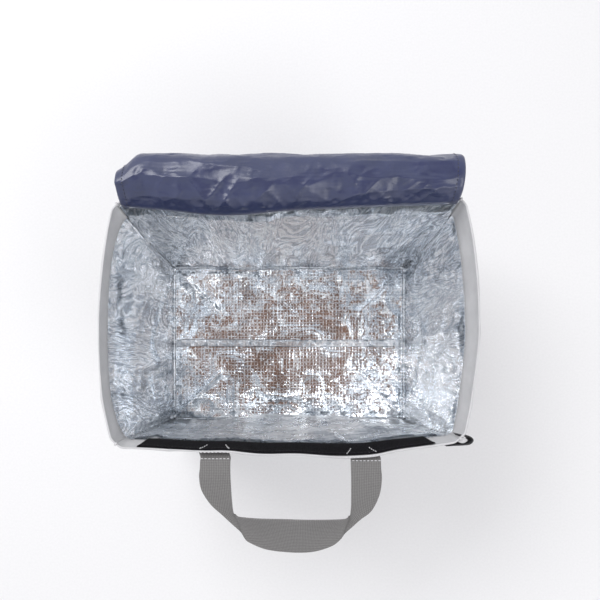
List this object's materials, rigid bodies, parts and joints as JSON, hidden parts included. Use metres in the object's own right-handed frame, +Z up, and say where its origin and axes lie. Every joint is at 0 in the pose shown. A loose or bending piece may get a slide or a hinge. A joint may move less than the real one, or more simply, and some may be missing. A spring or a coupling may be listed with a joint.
{
  "type": "insulated cooler bag",
  "caption": "Soft insulated cooler bag with an open foil-lined box, a padded flap lid thrown back over its rear rim and webbing carry loops.",
  "frame": {"origin": "middle of the base, on the surface that the bag stands on", "axes": "+X to the right along the bag's width, -Y to the front, where the lid closes, +Z up"},
  "size_m": [0.3776, 0.402, 0.3192],
  "materials": {
    "outer_fabric": "matte",
    "foam": "matte",
    "foil": "satin",
    "navy_fabric": "satin",
    "tape": "matte",
    "black_webbing": "satin",
    "thread": "satin",
    "webbing": "satin"
  },
  "bodies": {
    "bag": {"outer_base": "outer_fabric", "outer_front": "outer_fabric", "outer_rear": "outer_fabric", "outer_left": "outer_fabric", "outer_right": "outer_fabric", "foam_base": "foam", "foam_front": "foam", "foam_rear": "foam", "foam_left": "foam", "foam_right": "foam", "foil_base": "foil", "foil_front": "foil", "foil_rear": "foil", "foil_left": "foil", "foil_right": "foil", "facing_front": "outer_fabric", "facing_rear": "outer_fabric", "facing_left": "outer_fabric", "facing_right": "outer_fabric", "floor_lap": "foil", "loop_tape": "tape", "lid_seam_band": "navy_fabric", "front_handle_ends": "webbing", "rear_handle_ends": "webbing", "front_handle_stitches": "thread", "rear_handle_stitches": "thread", "corner_stub": "outer_fabric", "corner_tape_loop": "black_webbing"},
    "front_loop": {"front_handle": "webbing"},
    "rear_loop": {"rear_handle": "webbing"},
    "lid_root": {"lid_root_cover": "navy_fabric", "lid_root_foam": "foam", "lid_root_lining": "navy_fabric"},
    "lid_panel": {"lid_cover": "navy_fabric", "lid_foam": "foam", "lid_lining": "navy_fabric"},
    "lid_tuck": {"tuck_cover": "navy_fabric", "tuck_foam": "foam", "tuck_lining": "navy_fabric", "hook_tape": "tape"}
  },
  "joints": [
    {"name": "front_loop_swing", "type": "hinge", "parent": "bag", "child": "front_loop", "pos_m": [0, -0.134, 0.295], "axis": [-1, 0, 0], "range_deg": [-90, 90]},
    {"name": "rear_loop_swing", "type": "hinge", "parent": "bag", "child": "rear_loop", "pos_m": [0, 0.134, 0.295], "axis": [1, 0, 0], "range_deg": [0, 20]},
    {"name": "lid_close", "type": "hinge", "parent": "bag", "child": "lid_root", "pos_m": [0, 0.1166, 0.3056], "axis": [1, 0, 0], "range_deg": [0, 168]},
    {"name": "lid_unfold", "type": "hinge", "parent": "lid_root", "child": "lid_panel", "pos_m": [0, 0.17235, 0.31745], "axis": [1, 0, 0], "range_deg": [0, 102]},
    {"name": "tuck_fold", "type": "hinge", "parent": "lid_panel", "child": "lid_tuck", "pos_m": [0, 0.17235, 0.15015], "axis": [1, 0, 0], "range_deg": [0, 95]}
  ],
  "couplings": [
    {"joint": "lid_unfold", "follows": "lid_close", "ratio": 0.60714},
    {"joint": "tuck_fold", "follows": "lid_close", "ratio": 0.56547}
  ]
}
